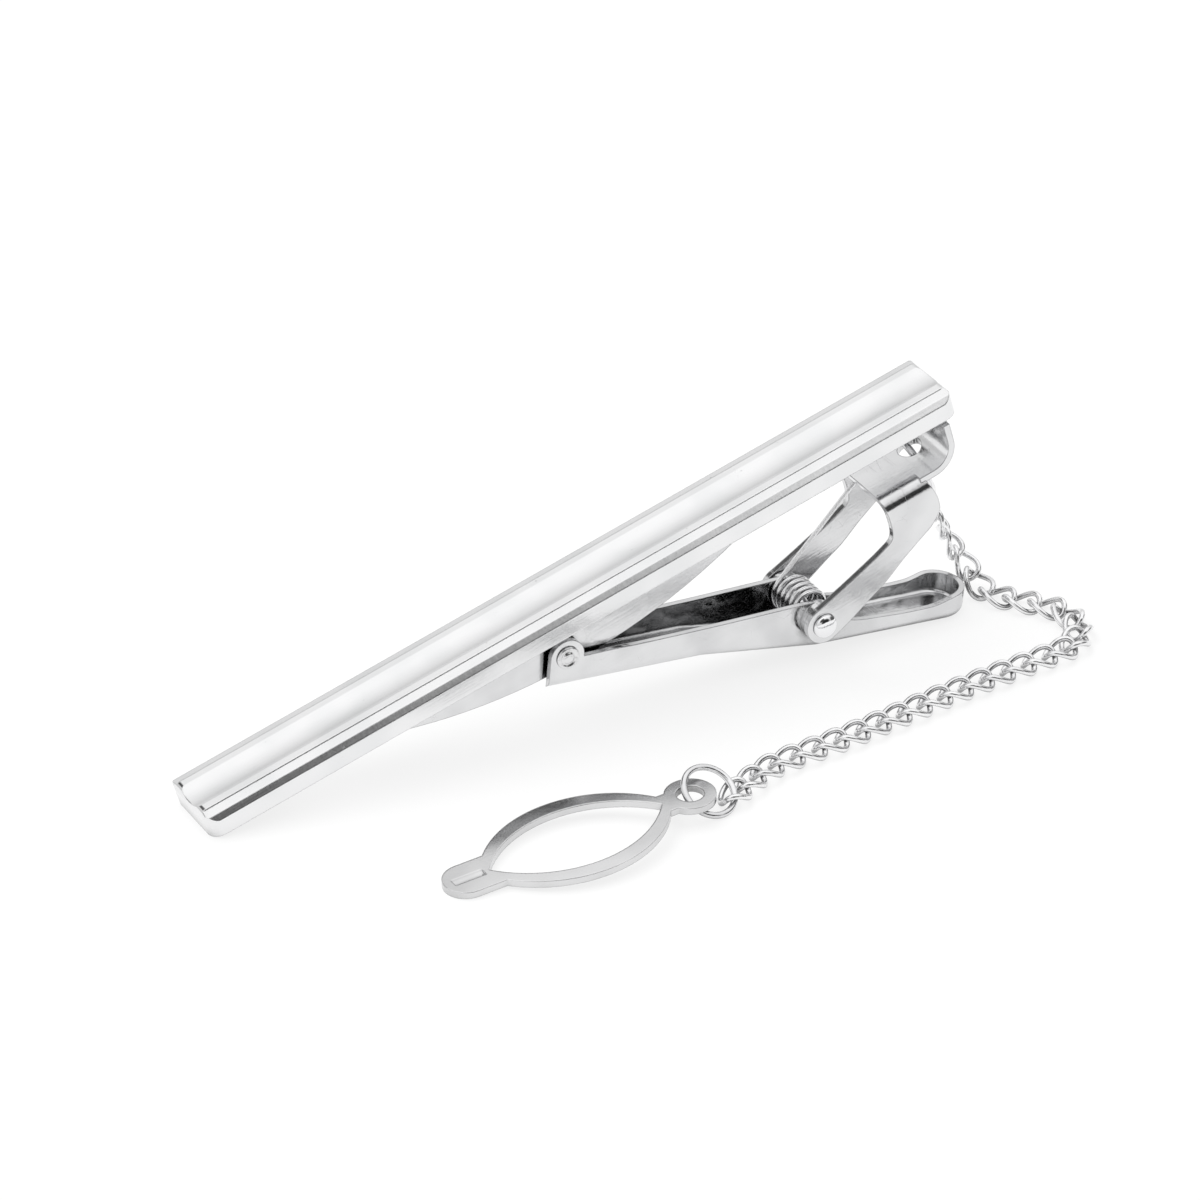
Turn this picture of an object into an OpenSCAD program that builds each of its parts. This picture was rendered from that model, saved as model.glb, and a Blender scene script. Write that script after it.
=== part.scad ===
// Tie clip with a twisted-link chain and a button loop, lying on a flat surface.
// X runs along the clip, Y points away from the viewer and Z up. Z = 0 is the surface.
// The clip leans on the left end of its bar and on the thumb end of its arm.

/* [Bar] */
// Length of the front bar
bar_length = 58; // [45:0.5:70]
// Width of the front bar
bar_width = 5.8; // [5:0.1:8]
// Height of the bar, from its open back to its ribs
bar_height = 1.82; // [1.5:0.02:3]
// Thickness of the bar's sheet
bar_sheet = 0.4; // [0.2:0.02:0.5]
// Radius of the bar's corners, seen from the front
bar_corner = 0.95; // [0.5:0.05:2]
// Radius of the roll at the top of each end wall
bar_end_roll = 0.5; // [0.2:0.05:1]
// Half width of the channel down the middle
channel_half = 1.3; // [0.8:0.05:1.6]
// Depth of the channel
channel_depth = 0.28; // [0.1:0.02:0.4]
// Width of the rib on each side of the channel
rib_width = 0.6; // [0.3:0.05:0.8]
// Step down from the rib to the shoulder
rib_step = 0.1; // [0.04:0.02:0.3]
// Fall of the shoulder
shoulder_fall = 0.1; // [0.02:0.02:0.3]
// Width of the bevel along each edge
bevel_width = 0.32; // [0.1:0.02:0.6]
// Height that the bevel drops
bevel_drop = 0.4; // [0.1:0.02:0.8]

/* [Back plate] */
// Thickness of the back plate's sheet
plate_sheet = 0.46; // [0.3:0.02:0.6]
// Height of the strip's lower face above the bar's rim
strip_lift = 0.04; // [0.01:0.01:0.2]
// Where the strip begins, from the bar's left end
strip_start = 4; // [2:0.5:10]
// Half width of the plate below the bar
plate_half = 3.1; // [2.4:0.05:3.5]
// Half width of the curl between the bar and the plate
curl_half = 2.75; // [2.4:0.05:3.5]
// Outer radius of the bend out of the bar
exit_bend = 1; // [0.7:0.05:1.5]
// Outer radius of the curl below the bar
curl_radius = 1.95; // [1.5:0.05:3]
// Gap between the curl and the bar's right end
curl_back = 0.85; // [0.5:0.05:2]
// Straight drop between the two bends
curl_drop = 1.38; // [0.8:0.02:3]
// Length of the plate from the curl to its free end
plate_run = 4.4; // [3:0.1:7]
// Outer radius of the folds along the plate's sides
fold_radius = 1.2; // [0.6:0.05:1.4]
// Radius of the hole for the ring
ring_hole = 0.85; // [0.5:0.05:1.2]
// Offset of the ring's hole from the middle line
ring_hole_off = 0.55; // [0:0.05:1]

/* [Pivots] */
// Distance of the fulcrum from the bar's left end
fulcrum_x = 44.4; // [35:0.1:55]
// Depth of the fulcrum below the bar's rim
fulcrum_drop = 10; // [7:0.1:13]
// Radius of the fulcrum rivet
rivet_radius = 0.55; // [0.4:0.01:0.8]
// Radius of the fulcrum rivet's heads
rivet_head = 0.88; // [0.7:0.02:1.3]
// Height of the fulcrum rivet's heads
rivet_dome = 0.45; // [0.2:0.02:0.8]
// Radius of the jaw rivet
jaw_rivet_radius = 0.42; // [0.3:0.01:0.6]
// Radius of the jaw rivet's heads
jaw_head = 0.7; // [0.5:0.02:1]
// Height of the jaw rivet's heads
jaw_dome = 0.2; // [0.1:0.02:0.4]
// Radius of the leg's end round the fulcrum
boss_radius = 1.35; // [1:0.05:2]
// Clearance of a rivet in the sheet that it holds
tight_fit = 0.02; // [0.01:0.01:0.05]
// Clearance of a rivet in the sheet that turns on it
running_fit = 0.05; // [0.02:0.01:0.1]
// Clearance between sheets that slide past each other
side_gap = 0.05; // [0.02:0.01:0.15]

/* [Arm] */
// Angle of the arm below the bar's line
arm_angle = 21.5; // [15:0.5:28]
// Distance of the jaw rivet from the fulcrum along the arm
arm_reach = 19.2; // [14:0.1:24]
// Distance that the thumb end stays short of the curl, along the bar
thumb_gap = 0.9; // [0.2:0.05:4]
// Outer half width of the arm
arm_half = 2.03; // [1.6:0.05:2]
// Thickness of the arm's sheet
arm_sheet = 0.4; // [0.25:0.02:0.5]
// Outer radius of the arm's lower edges
arm_edge = 0.7; // [0.5:0.05:1]
// Depth of the arm's floor at the jaw, below the fulcrum
floor_high = 1.35; // [1.1:0.01:1.6]
// Depth of the arm's floor at the thumb, below the fulcrum
floor_low = 2.38; // [1.8:0.02:3]
// Radius of the ear round the jaw rivet
ear_radius = 1.25; // [0.9:0.05:1.6]
// Radius of the raised collar round the fulcrum
collar_radius = 1.25; // [1:0.05:1.5]

/* [Jaw] */
// Length of the jaw
jaw_length = 30; // [20:0.5:36]
// Outer half width of the jaw
jaw_half = 1.33; // [1:0.01:1.5]
// Thickness of the jaw's sheet
jaw_sheet = 0.38; // [0.25:0.01:0.5]
// Depth of the jaw at its middle
jaw_depth = 3.4; // [2.6:0.05:4]
// Depth of the jaw at its ends
jaw_lip = 0.4; // [0.3:0.05:1]
// Depth of the jaw rivet below the gripping face
jaw_drop = 2.15; // [1.6:0.05:2.6]
// Distance of the jaw's middle from its rivet, towards the fulcrum
jaw_shift = 1; // [0:0.1:3]
// Radius of the jaw's corners, seen from the front
jaw_corner = 0.6; // [0.3:0.05:1.2]
// Gap between the gripping face and the strip
grip_gap = 0.03; // [0.01:0.01:0.1]

/* [Spring] */
// Diameter of the spring's wire
spring_wire = 0.33; // [0.2:0.01:0.4]
// Mean radius of the spring's coil
coil_radius = 0.95; // [0.8:0.01:1.1]
// Whole turns that the coil makes before its last part turn
coil_turns = 3; // [2:1:4]
// Reach of the leg along the arm's floor
floor_leg = 7.4; // [4:0.1:9]
// Distance of the other leg's tip past the plate's free end
plate_leg = 0.8; // [0.4:0.05:2]

/* [Rings] */
// Mean radius of the ring in the plate
clip_ring_radius = 2.5; // [2.2:0.05:3.5]
// Diameter of that ring's wire
clip_ring_wire = 0.5; // [0.3:0.02:0.6]
// Lean of that ring away from the legs
clip_ring_lean = 8; // [5:1:30]
// Mean radius of the ring at the loop
end_ring_radius = 1.8; // [1.5:0.05:2.5]
// Diameter of the end ring's wire
end_ring_wire = 0.45; // [0.3:0.02:0.6]
// Tilt of the end ring
end_ring_tilt = 33; // [25:1:50]
// Heading of the end ring
end_ring_turn = 15; // [-30:1:40]

/* [Chain] */
// Diameter of the wire of a link
link_wire = 0.4; // [0.25:0.01:0.5]
// Half length of a link, to the middle of its wire
link_half = 1.24; // [0.9:0.01:1.6]
// Half width of a link, to the middle of its wire
link_side = 0.88; // [0.7:0.01:1.2]
// Twist from a link's middle to each end
link_twist = 50; // [35:1:60]
// Distance from one link to the next
link_spacing = 1.8; // [1.3:0.01:2.2]
// Play left where the first link hangs on its ring
link_play = 0.06; // [0.02:0.01:0.2]
// Play left where the last link meets the end ring
end_play = 0.365; // [0.1:0.005:0.6]
// How far the end ring lies beside the last link's line
end_side = 0.25; // [0:0.01:0.4]

/* [Button loop] */
// Thickness of the loop
loop_sheet = 0.5; // [0.4:0.02:0.8]
// Half length of the lens
lens_half = 7.2; // [5:0.1:10]
// Half width of the lens
lens_side = 4.25; // [3:0.05:6]
// Half length of the opening
eye_half = 6.45; // [4:0.05:9]
// Half width of the opening
eye_side = 3.15; // [2:0.05:5]
// Distance from the lens's middle to the eyelet
eyelet_reach = 8.6; // [7:0.1:12]
// Outer radius of the eyelet
eyelet_radius = 1.72; // [1.4:0.02:2.4]
// Radius of the eyelet's hole
eyelet_hole = 0.92; // [0.7:0.02:1.3]
// Half width of the neck at the eyelet
neck_half = 0.95; // [0.6:0.05:1.4]
// Distance from the lens's middle to the nose's round
nose_reach = 8.1; // [7:0.05:12]
// Half width of the nose
nose_half = 1.6; // [1:0.05:2.2]
// Radius of the groove pressed into the nose
groove_radius = 0.4; // [0.2:0.02:0.6]
// Depth of that groove
groove_depth = 0.2; // [0.05:0.01:0.35]
// Heading of the loop
loop_turn = 2; // [-10:1:20]

/* [Hidden] */
$fn = 48;
// Overrun of every cut
over = 0.6;
// Colours
bright = [0.86, 0.87, 0.88];
satin = [0.72, 0.73, 0.75];
dark = [0.55, 0.56, 0.58];
wire = [0.9, 0.9, 0.91];

// Bar: outline of half its section, from the rib outwards
bar_half = bar_width / 2;
rib_out = channel_half + rib_width;
bevel_in = bar_half - bevel_width;
shoulder_top = bar_height - rib_step;
bevel_top = shoulder_top - shoulder_fall;
bevel_low = bevel_top - bevel_drop;
channel_round = (channel_half * channel_half + channel_depth * channel_depth) / (2 * channel_depth);
channel_height = bar_height - channel_depth + channel_round;

// Back plate: places in the clip's frame, where X runs along the bar and Z = 0 is its rim
strip_top = strip_lift + plate_sheet;
strip_half = bar_half - bar_sheet - tight_fit;
curl_face = bar_length - curl_back;
exit_x = curl_face - exit_bend;
exit_z = strip_top - exit_bend;
curl_x = curl_face - curl_radius;
curl_z = exit_z - curl_drop;
plate_low = curl_z - curl_radius;
plate_top = plate_low + plate_sheet;
plate_left = curl_x - plate_run;
leg_inner = plate_half - plate_sheet;
// The leg's outline, as shares of the way from the fulcrum to the plate's right edge and top
leg_run = curl_x - fulcrum_x;
leg_rise = plate_top + fulcrum_drop;
// Where the folded part ends and the flat neck to the curl begins, as a share of the plate's run
neck_share = 0.74;
notch_shares = [[0.598, 1], [0.606, 0.87], [0.611, 0.74], [0.607, 0.6], [0.583, 0.515], [0.51, 0.46], [0.42, 0.407],
    [0.186, 0.29], [-0.03, 0.195]];
heel_shares = [[0.04, -0.19], [0.127, -0.146], [0.218, -0.085], [0.351, 0.01], [0.478, 0.095], [0.623, 0.232],
    [0.776, 0.355], [0.873, 0.433], [0.95, 0.555], [0.962, 0.66], [0.958, 0.76], [0.935, 0.9], [0.915, 1]];

// Arm: its frame has the fulcrum as origin and X towards the thumb
// The jaw rivet lies this far above the arm's line, so that it keeps its depth in the jaw
jaw_top = strip_lift - grip_gap;
jaw_z = jaw_top - jaw_drop;
arm_rise = (jaw_z + fulcrum_drop - arm_reach * sin(arm_angle)) / cos(arm_angle);
jaw_x = fulcrum_x - arm_reach * cos(arm_angle) + arm_rise * sin(arm_angle);
thumb_reach = (curl_face - thumb_gap - fulcrum_x) / cos(arm_angle) - arm_half;
arm_inner = arm_half - arm_sheet;
arm_end = arm_reach + ear_radius;
thumb_end = thumb_reach + arm_half;
// Where the floor starts, clear of the jaw
floor_start = arm_reach + ear_radius * 0.45;
// Where the floor begins and ends its ramp, as shares of the reach to the jaw rivet
ramp_shares = [-0.45, 0.02];
floor_line = [
    [-arm_end - over, -floor_high],
    [arm_reach * ramp_shares[0], -floor_high],
    [arm_reach * ramp_shares[1], -floor_low],
    [thumb_reach, -floor_low]];
floor_runs = [for (i = [0 : 2]) norm(floor_line[i + 1] - floor_line[i])];
// How far the block of each run begins before the run, and ends after it
run_back = [over, over, floor_runs[1]];
run_ahead = [over, floor_runs[2], 0];
// The flange's edge left of the fulcrum, as shares of the reach and of the collar
flange_shares = [[-0.93, 0.6], [-0.8, 0.64], [-0.7, 0.64], [-0.46, 0.74], [-0.34, 0.8], [-0.1, 0.95], [-0.02, 0.99]];
// The flange's edge right of it, as shares of the thumb's reach and of the low floor
thumb_shares = [[0.055, 0.46], [0.15, 0.08], [0.24, -0.24], [0.33, -0.345], [0.48, -0.385], [0.66, -0.42], [0.86, -0.41],
    [0.94, -0.35], [1.02, -0.25], [1.12, -0.21], [1.25, -0.21]];
collar_reach = leg_inner - side_gap;

// Tilt of the clip, so that its left end and its thumb end both touch the surface
thumb_in = thumb_reach + arm_half - arm_edge;
thumb_down = floor_low - arm_edge;
lean_x = fulcrum_x + thumb_in * cos(arm_angle) - thumb_down * sin(arm_angle);
lean_z = -fulcrum_drop - thumb_in * sin(arm_angle) - thumb_down * cos(arm_angle);
lean_reach = sqrt(lean_x * lean_x + lean_z * lean_z);
tilt = asin(arm_edge / lean_reach) - atan2(lean_z, lean_x);

// Jaw: the arc of its lower edge
jaw_sag = jaw_depth - jaw_lip;
jaw_arc = (jaw_length * jaw_length / 4 + jaw_sag * jaw_sag) / (2 * jaw_sag);

// Spring: angles in the clip's frame, seen from the near side
plate_tip = [plate_left + plate_leg - fulcrum_x, plate_low - spring_wire / 2 - tight_fit + fulcrum_drop];
floor_height = floor_low - arm_sheet - spring_wire / 2 - side_gap;
floor_tip = rot2([floor_leg, -floor_height], -arm_angle);
coil_start = atan2(plate_tip[1], plate_tip[0]) + acos(coil_radius / norm(plate_tip));
coil_stop = atan2(floor_tip[1], floor_tip[0]) - acos(coil_radius / norm(floor_tip)) + 360;
coil_sweep = coil_stop - coil_start + 360 * coil_turns;
coil_side = arm_inner - spring_wire / 2 - tight_fit;
coil_rings = ceil(8 * coil_sweep / 360);

// Rings and chain: places on the surface
ring_drop = [sin(clip_ring_lean), 0, -cos(clip_ring_lean)];
ring_hang = 0.72 * clip_ring_radius;
ring_middle = [curl_x + 0.1 * ring_hole, ring_hole_off + 0.6 * clip_ring_radius, (plate_low + plate_top) / 2];
ring_centre = ring_middle + ring_drop * ring_hang;
ring_low = tilted(ring_centre + ring_drop * clip_ring_radius);
link_count = 29;
// Links in the fall for which the headings are written
fall_marks = 7;
// Heading of the chain at some of its links, in degrees
heading_marks = [[1, 37], [2, 13], [3, -12], [4, -36], [5, -60], [6, -84], [7, -57], [8, -48], [9, -54], [10, -84],
    [11, -114], [12, -144], [13, -172], [14, -174], [15, -174], [17, -173], [20, -170], [23, -172], [25, -175],
    [26, -172], [27, -161], [28, -154], [29, -153]];
// Steepness of the chain along its fall from the ring to the surface
steep_shares = [[0, 0.93], [0.55, 0.93], [0.7, 0.75], [0.85, 0.2], [0.92, 0.02], [1, 0.01]];
link_rings = 16;
link_rest = -min([for (p = tube_points(link_path(), link_path(), link_wire / 2, true)) p[2]]);
meet_first = link_half - (link_wire + clip_ring_wire) / 2 - link_play;
// The fall takes as many links as it needs, and each of them the same share of its steepness
fall_steps = 40;
mean_steep = sum_of([for (k = [1 : fall_steps]) lookup((k - 0.5) / fall_steps, steep_shares)]) / fall_steps;
fall_links = ceil((ring_low[2] - link_rest) / (link_spacing * mean_steep));
steeps = [for (i = [1 : fall_links]) lookup((i - 0.5) / fall_links, steep_shares)];
first_part = meet_first / link_spacing + 0.5;
steep_size = (ring_low[2] - link_rest) / (link_spacing * (sum_of(steeps) - (1 - first_part) * steeps[0]));
link_dives = [for (i = [0 : link_count - 1]) i < fall_links ? asin(steep_size * steeps[i]) : 0];
link_headings = [for (i = [1 : link_count])
    lookup(i < fall_links ? i * fall_marks / fall_links : i - fall_links + fall_marks, heading_marks)];
link_ways = [for (i = [0 : link_count - 1]) way(link_headings[i], link_dives[i])];
meet_last = link_half - (link_wire + end_ring_wire) / 2 - end_play;
chain_start = ring_low + link_ways[0] * (meet_first - link_spacing / 2);
link_joints = running([for (w = link_ways) w * link_spacing], chain_start);

// End ring: it is held where the last link ends and rests on the surface
ring_high = end_ring_radius * sin(end_ring_tilt) + end_ring_wire / 2;
last_way = link_ways[link_count - 1];
last_centre = link_joints[link_count] - last_way * link_spacing / 2;
end_hold = last_centre + last_way * meet_last + end_side * [-last_way[1], last_way[0], 0];
hold_angle = asin((end_hold[2] - ring_high) / (end_ring_radius * sin(end_ring_tilt)));
end_centre = end_hold - end_ring_point(hold_angle);

// Button loop: its eyelet hangs on the end ring and its nose rests on the surface
eyelet_angle = 170;
eyelet_share = 0.86;
eyelet_place = end_centre + eyelet_share * end_ring_point(eyelet_angle);
loop_length = eyelet_reach + nose_reach + nose_half;
loop_pitch = asin((eyelet_place[2] - loop_sheet / 2) / loop_length);
lens_arc = (lens_half * lens_half + lens_side * lens_side) / (2 * lens_side);
eye_arc = (eye_half * eye_half + eye_side * eye_side) / (2 * eye_side);

// The origin is under the middle of the whole part, at these shares of the bar's length
origin_shares = [0.54945, -0.12334];
origin_x = bar_length * origin_shares[0];
origin_y = bar_length * origin_shares[1];

function sum_of(v, i = 0) = i == len(v) ? 0 : v[i] + sum_of(v, i + 1);
function rot2(p, a) = [p[0] * cos(a) - p[1] * sin(a), p[0] * sin(a) + p[1] * cos(a)];
function tilted(p) = [p[0] * cos(tilt) - p[2] * sin(tilt), p[1], p[0] * sin(tilt) + p[2] * cos(tilt)];
function way(h, d) = [cos(h) * cos(d), sin(h) * cos(d), -sin(d)];
function running(steps, from, i = 0) = i == len(steps) ? [from] : concat([from], running(steps, from + steps[i], i + 1));
function end_ring_point(a) = end_ring_radius * [
    cos(a) * cos(end_ring_turn) - sin(a) * sin(end_ring_turn) * cos(end_ring_tilt),
    cos(a) * sin(end_ring_turn) + sin(a) * cos(end_ring_turn) * cos(end_ring_tilt),
    sin(a) * sin(end_ring_tilt)];
function scaled(points, sx, sz) = [for (p = points) [p[0] * sx, p[1] * sz]];

// A smooth line through points, with a few steps between each two
function bent(a, b, c, d, t) = 0.5 * (2 * b + (c - a) * t + (2 * a - 5 * b + 4 * c - d) * t * t
    + (3 * b - a - 3 * c + d) * t * t * t);
function smooth(p, steps) = [for (i = [0 : len(p) - 2], s = [0 : steps - 1])
    bent(p[max(i - 1, 0)], p[i], p[i + 1], p[min(i + 2, len(p) - 1)], s / steps), p[len(p) - 1]];

// A tube of six sides along a path, closed or with flat ends. Each ring turns with the path.
function unit(v) = v / norm(v);
function along(path, i, closed) = let (n = len(path))
    closed ? unit(path[(i + 1) % n] - path[(i + n - 1) % n]) : unit(path[min(i + 1, n - 1)] - path[max(i - 1, 0)]);
function ring_points(c, t, out, r) = let (u = unit(out - t * (out * t)), v = cross(t, u))
    [for (k = [0 : 5]) c + r * (cos(60 * k) * u + sin(60 * k) * v)];
function tube_points(path, outs, r, closed) =
    [for (i = [0 : len(path) - 1]) each ring_points(path[i], along(path, i, closed), outs[i], r)];
function tube_faces(n, closed) = concat(
    [for (i = [0 : n - (closed ? 1 : 2)], k = [0 : 5]) each
        let (a = i * 6, b = ((i + 1) % n) * 6, m = (k + 1) % 6) [[a + k, b + m, a + m], [a + k, b + k, b + m]]],
    closed ? [] : [for (k = [1 : 4]) [0, k, k + 1]],
    closed ? [] : [for (k = [1 : 4]) [(n - 1) * 6, (n - 1) * 6 + k + 1, (n - 1) * 6 + k]]);

// The middle line of a link: a long oval whose ends are twisted opposite ways
function oval(v, power) = sign(v) * pow(abs(v), 2 / power);
function link_point(a) = let (s = oval(cos(a), 2.4), w = link_side * oval(sin(a), 2.4), q = link_twist * s)
    [link_half * s, w * cos(q), w * sin(q)];
function link_path() = [for (i = [0 : link_rings - 1]) link_point(360 * (i + 0.5) / link_rings)];

// The spring's middle line, from the tip at the plate to the tip on the arm's floor
function coil_point(a) = let (t = (a - coil_start) / coil_sweep)
    [coil_radius * cos(a), coil_side * (1 - 2 * t), coil_radius * sin(a)];
coil_path = [for (i = [0 : coil_rings]) coil_point(coil_start + coil_sweep * i / coil_rings)];
plate_point = [plate_tip[0], coil_side, plate_tip[1]];
floor_point = [floor_tip[0], arm_edge - arm_sheet - coil_side, floor_tip[1]];
near_share = spring_wire / norm(plate_point - coil_path[0]);
far_share = spring_wire / norm(floor_point - coil_path[coil_rings]);
spring_path = concat(
    [plate_point, plate_point * near_share + coil_path[0] * (1 - near_share)],
    coil_path,
    [floor_point * far_share + coil_path[coil_rings] * (1 - far_share), floor_point]);
spring_outs = [for (i = [0 : len(spring_path) - 1]) i < 2 || i > coil_rings + 2 ? [0, 1, 0] : [spring_path[i][0], 0, spring_path[i][2]]];
// The least gap between two turns, measured on the coil's own points
coil_gap = min([for (i = [0 : coil_rings - 5], j = [i + 5 : coil_rings]) norm(coil_path[i] - coil_path[j])]) - spring_wire;
echo(least_gap_of_spring = coil_gap);

// Frames
module on_origin() translate([-origin_x, -origin_y, 0]) children();
module in_clip() on_origin() rotate([0, -tilt, 0]) children();
module in_arm() in_clip() translate([fulcrum_x, 0, -fulcrum_drop]) rotate([0, arm_angle, 0]) children();

// Helpers: a section pulled along X, an outline pulled along Y, and rounds along each
module pull_x(l) rotate([90, 0, 90]) linear_extrude(l) children();
module pull_y(half) rotate([90, 0, 0]) linear_extrude(2 * half, center = true) children();
module pin_y(x, z, r, half) translate([x, 0, z]) rotate([90, 0, 0]) cylinder(r = r, h = 2 * half, center = true);
module rod_x(x, y, z, r, l) translate([x, y, z]) rotate([0, 90, 0]) cylinder(r = r, h = l);

// A block with four rounded upright edges
module slab(x0, x1, half, z0, z1, r) {
    h = z1 - z0;
    translate([x0 + r, -half, z0]) cube([x1 - x0 - 2 * r, 2 * half, h]);
    translate([x0, -half + r, z0]) cube([x1 - x0, 2 * half - 2 * r, h]);
    for (x = [x0 + r, x1 - r], y = [-half + r, half - r]) translate([x, y, z0]) cylinder(r = r, h = h);
}

// Bar: the outline of its section, drawn in by a sheet's thickness for the inside
module bar_section(t) {
    k = t * 0.4;
    right = [
        [rib_out - k, bar_height - t],
        [rib_out - k, shoulder_top - t],
        [bevel_in - k, bevel_top - t],
        [bar_half - t, bevel_low - k]];
    left = [for (i = [3 : -1 : 0]) [-right[i][0], right[i][1]]];
    low = t > 0 ? -over : 0;
    polygon(concat([[-bar_half + t, low]], left, right, [[bar_half - t, low]]));
}
module bar_mass(t) {
    difference() {
        pull_x(bar_length) bar_section(t);
        rod_x(-over, 0, channel_height, channel_round + t, bar_length + 2 * over);
    }
}
module bar_ends(t) {
    l = bar_length - t;
    r = bar_end_roll;
    low = t > 0 ? -2 * over : 0;
    translate([t, -bar_width, low]) cube([l - t, 2 * bar_width, bar_height - t - r - low]);
    translate([t + r, -bar_width, low]) cube([l - t - 2 * r, 2 * bar_width, bar_height - t - low]);
    for (x = [t + r, l - r]) pin_y(x, bar_height - t - r, r, bar_width);
}
module front_bar() color(bright) in_clip() difference() {
    intersection() {
        bar_mass(0);
        slab(0, bar_length, bar_half, 0, bar_height, bar_corner);
        bar_ends(0);
    }
    intersection() {
        bar_mass(bar_sheet);
        slab(bar_sheet, bar_length - bar_sheet, bar_half - bar_sheet, -over, bar_height, bar_corner - bar_sheet);
        bar_ends(bar_sheet);
    }
}

// Back plate: strip, bend, curl, plate and legs
module bend(x, z, r, half, low) intersection() {
    difference() {
        pin_y(x, z, r, half);
        pin_y(x, z, r - plate_sheet, half + over);
    }
    translate([x, -half - over, low ? z - r - over : z]) cube([r + over, 2 * half + 2 * over, r + over]);
}
module fold_block(t) {
    half = plate_half - t;
    top = plate_top - t;
    r = fold_radius - t;
    l = plate_left - over - fulcrum_drop;
    w = 2 * fulcrum_drop + leg_run;
    translate([l, -half, -2 * fulcrum_drop]) cube([w, 2 * half, top - r + 2 * fulcrum_drop]);
    translate([l, -half + r, -2 * fulcrum_drop]) cube([w, 2 * half - 2 * r, top + 2 * fulcrum_drop]);
    for (y = [-half + r, half - r]) rod_x(l, y, top - r, r, w);
}
module leg_outline() {
    points = concat(smooth(scaled(notch_shares, leg_run, leg_rise), 3), smooth(scaled(heel_shares, leg_run, leg_rise), 3));
    translate([fulcrum_x, -fulcrum_drop]) polygon(points);
}
module back_plate() color(satin) in_clip() difference() {
    union() {
        translate([strip_start, -strip_half, strip_lift]) cube([exit_x - strip_start, 2 * strip_half, plate_sheet]);
        bend(exit_x, exit_z, exit_bend, strip_half, false);
        translate([curl_face - plate_sheet, -strip_half, exit_z - over]) cube([plate_sheet, 2 * strip_half, over]);
        translate([curl_face - plate_sheet, -curl_half, curl_z]) cube([plate_sheet, 2 * curl_half, curl_drop]);
        bend(curl_x, curl_z, curl_radius, curl_half, true);
        translate([plate_left + plate_run * neck_share, -curl_half, plate_low])
            cube([plate_run * (1 - neck_share), 2 * curl_half, plate_sheet]);
        intersection() {
            difference() {
                fold_block(0);
                fold_block(plate_sheet);
            }
            union() {
                pull_y(plate_half + over) leg_outline();
                pin_y(fulcrum_x, -fulcrum_drop, boss_radius, plate_half + over);
            }
        }
    }
    pin_y(fulcrum_x, -fulcrum_drop, rivet_radius + tight_fit, plate_half + over);
    translate([curl_x + 0.1 * ring_hole, ring_hole_off, plate_low - over]) cylinder(r = ring_hole, h = plate_sheet + 2 * over);
}

// A rivet: a shank with a domed head at each end
module rivet(x, z, r, half, head, dome) {
    ball = (head * head + dome * dome) / (2 * dome);
    pin_y(x, z, r, half + tight_fit);
    for (s = [-1, 1]) translate([x, s * (half + tight_fit), z]) rotate([-90 * s, 0, 0]) intersection() {
        translate([0, 0, dome - ball]) sphere(r = ball);
        cylinder(r = head, h = dome);
    }
}
module pivot_rivet() color(bright) in_clip() rivet(fulcrum_x, -fulcrum_drop, rivet_radius, plate_half, rivet_head, rivet_dome);

// Arm: a channel whose floor follows three straight runs and ends in a rounded thumb end
module run_block(i, t) {
    a = floor_line[i];
    b = floor_line[i + 1];
    slope = atan2(b[1] - a[1], b[0] - a[0]);
    half = arm_half - t;
    r = arm_edge - t;
    l = run_back[i] + floor_runs[i] + run_ahead[i];
    h = arm_reach / 3;
    translate([a[0], 0, a[1]]) rotate([0, -slope, 0]) translate([-run_back[i], 0, t]) {
        translate([0, -half + r, 0]) cube([l, 2 * half - 2 * r, h]);
        translate([0, -half, r]) cube([l, 2 * half, h - r]);
        for (y = [-half + r, half - r]) rod_x(0, y, r, r, l);
    }
}
module thumb_round(t) {
    r = arm_half - t;
    f = arm_edge - t;
    translate([thumb_reach, 0, t - floor_low]) {
        translate([0, 0, f]) cylinder(r = r, h = arm_reach / 3 - f);
        cylinder(r = r - f, h = f + f / 2);
        translate([0, 0, f]) rotate_extrude() translate([r - f, 0]) circle(r = f);
    }
}
module arm_mass(t) {
    run_block(0, t);
    intersection() {
        run_block(1, t);
        run_block(2, t);
    }
    thumb_round(t);
}
module arm_outline() {
    top = concat(smooth(scaled(flange_shares, arm_reach, collar_radius), 3), smooth(scaled(thumb_shares, thumb_reach, floor_low), 3));
    polygon(concat([[-arm_end, -floor_low], [-arm_end, top[0][1]]], top, [[thumb_end + over, -floor_low]]));
}
module pinch_arm() color(satin) in_arm() difference() {
    union() {
        intersection() {
            difference() {
                arm_mass(0);
                arm_mass(arm_sheet);
            }
            union() {
                pull_y(arm_half + over) arm_outline();
                pin_y(0, 0, collar_radius, arm_half + over);
                pin_y(-arm_reach, arm_rise, ear_radius, arm_half + over);
                translate([-arm_end, -arm_half - over, -floor_high]) cube([2 * ear_radius, 2 * arm_half + 2 * over, floor_high + arm_rise]);
                translate([-arm_end, -arm_half - over, -floor_low]) cube([arm_end + thumb_end, 2 * arm_half + 2 * over, floor_low * 0.4]);
            }
        }
        for (s = [-1, 1]) translate([0, s * (arm_inner + collar_reach) / 2, 0]) pin_y(0, 0, collar_radius, (collar_reach - arm_inner) / 2);
    }
    pin_y(0, 0, rivet_radius + running_fit, collar_reach + over);
    translate([-arm_end - over, -arm_inner, -floor_low]) cube([over + arm_end - floor_start, 2 * arm_inner, floor_low]);
    pin_y(-arm_reach, arm_rise, jaw_rivet_radius + tight_fit, arm_half + over);
}
module jaw_rivet() color(bright) in_clip() rivet(jaw_x, jaw_z, jaw_rivet_radius, arm_half, jaw_head, jaw_dome);

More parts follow.
